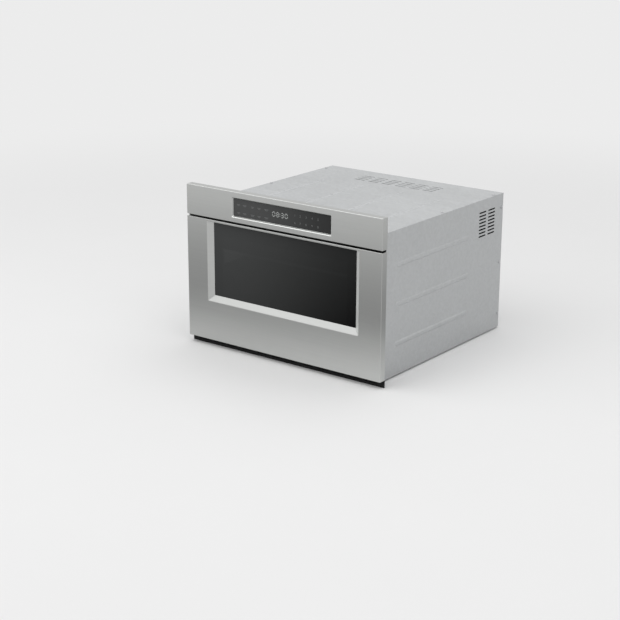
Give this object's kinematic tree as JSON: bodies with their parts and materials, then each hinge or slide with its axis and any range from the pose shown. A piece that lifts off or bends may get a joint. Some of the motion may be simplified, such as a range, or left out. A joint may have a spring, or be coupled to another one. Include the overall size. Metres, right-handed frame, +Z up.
{
  "type": "microwave drawer",
  "caption": "Built-in microwave oven whose stainless front slides out on rails as a drawer with a glass-floored tray, under a fixed touch control panel.",
  "frame": {"origin": "middle of the footprint, on the surface the appliance stands on", "axes": "+Z up, the front faces -Y, +X to the right when seen from the front"},
  "size_m": [0.606, 0.595, 0.421],
  "materials": {
    "stainless": "brushed, straight grain across the front",
    "black_glass": "gloss black glass",
    "clear_glass": "clear",
    "ceramic": "satin pale ceramic glass",
    "black_steel": "satin black paint",
    "zinc_steel": "zinc-plated, spangled",
    "cavity_paint": "light grey oven enamel",
    "rail_steel": "bright zinc",
    "screw_steel": "bright zinc",
    "black_plastic": "fine texture",
    "grey_plastic": "fine texture",
    "white_plastic": "satin",
    "aluminium": "plain",
    "board": "circuit board",
    "core_iron": "varnished laminations",
    "rubber": "matt"
  },
  "bodies": {
    "case": {"control_fascia": "stainless", "display_glass": "black_glass", "base_vent_trim": "black_steel", "front_frame": "black_steel", "base_plate": "zinc_steel", "left_side_panel": "zinc_steel", "right_side_panel": "zinc_steel", "top_cover": "zinc_steel", "rear_panel": "zinc_steel", "cavity_face": "cavity_paint", "cavity_left_wall": "cavity_paint", "cavity_right_wall": "cavity_paint", "cavity_floor": "cavity_paint", "cavity_roof": "cavity_paint", "cavity_rear_wall": "cavity_paint", "fixed_rail_left": "rail_steel", "fixed_rail_right": "rail_steel", "case_screws": "screw_steel", "control_carrier": "black_plastic", "cord_gland": "black_plastic", "interlock_switches": "black_plastic", "fan_duct": "black_plastic", "stirrer_cover": "white_plastic", "display_module": "grey_plastic", "control_board": "board", "noise_filter_board": "board", "waveguide": "aluminium", "magnetron": "aluminium", "capacitor": "aluminium", "thermal_cutouts": "aluminium", "cavity_lamp": "white_plastic", "transformer": "core_iron", "stirrer_motor": "grey_plastic", "fan_motor": "grey_plastic", "drive_motor": "grey_plastic", "feet": "rubber"},
    "drawer": {"drawer_fascia": "stainless", "window_glass": "black_glass", "door_frame": "black_steel", "window_screen": "black_steel", "inner_window": "clear_glass", "choke_cover": "black_plastic", "tray_support": "cavity_paint", "tray_floor": "ceramic", "tray_side_walls": "cavity_paint", "tray_rear_wall": "cavity_paint", "latch_hooks": "white_plastic", "rail_arms": "zinc_steel", "inner_rail_left": "rail_steel", "inner_rail_right": "rail_steel", "drive_rack": "white_plastic", "drawer_screws": "screw_steel"},
    "middle_rail_left": {"middle_rail_left": "rail_steel"},
    "middle_rail_right": {"middle_rail_right": "rail_steel"},
    "drive_pinion": {"drive_pinion": "white_plastic"},
    "stirrer": {"stirrer_blade": "aluminium"},
    "fan": {"fan_wheel": "grey_plastic"},
    "primary_plunger": {"primary_plunger": "grey_plastic"},
    "secondary_plunger": {"secondary_plunger": "grey_plastic"},
    "monitor_plunger": {"monitor_plunger": "grey_plastic"}
  },
  "joints": [
    {"name": "drawer_slide", "type": "slide", "parent": "case", "child": "drawer", "axis": [0, -1, 0], "range_m": [0, 0.381]},
    {"name": "middle_rail_left_slide", "type": "slide", "parent": "case", "child": "middle_rail_left", "axis": [0, -1, 0], "range_m": [0, 0.1905]},
    {"name": "middle_rail_right_slide", "type": "slide", "parent": "case", "child": "middle_rail_right", "axis": [0, -1, 0], "range_m": [0, 0.1905]},
    {"name": "pinion_spin", "type": "hinge", "parent": "case", "child": "drive_pinion", "pos_m": [0.2535, -0.2225, 0.0613], "axis": [1, 0, 0], "range_deg": [0, 1561]},
    {"name": "stirrer_spin", "type": "hinge", "parent": "case", "child": "stirrer", "pos_m": [0, -0.0412, 0.32], "axis": [0, 0, 1], "continuous": true},
    {"name": "fan_spin", "type": "hinge", "parent": "case", "child": "fan", "pos_m": [0.14, 0.2763, 0.1], "axis": [0, -1, 0], "continuous": true},
    {"name": "primary_plunger_press", "type": "slide", "parent": "case", "child": "primary_plunger", "axis": [0, 1, 0], "range_m": [0, 0.001], "stiffness_N_per_m": 300},
    {"name": "secondary_plunger_press", "type": "slide", "parent": "case", "child": "secondary_plunger", "axis": [0, 1, 0], "range_m": [0, 0.001], "stiffness_N_per_m": 300},
    {"name": "monitor_plunger_press", "type": "slide", "parent": "case", "child": "monitor_plunger", "axis": [0, 1, 0], "range_m": [0, 0.001], "stiffness_N_per_m": 300}
  ],
  "couplings": [
    {"joint": "middle_rail_left_slide", "follows": "drawer_slide", "ratio": 0.5},
    {"joint": "middle_rail_right_slide", "follows": "drawer_slide", "ratio": 0.5},
    {"joint": "pinion_spin", "follows": "drawer_slide", "rad_per_m": 71.429}
  ]
}
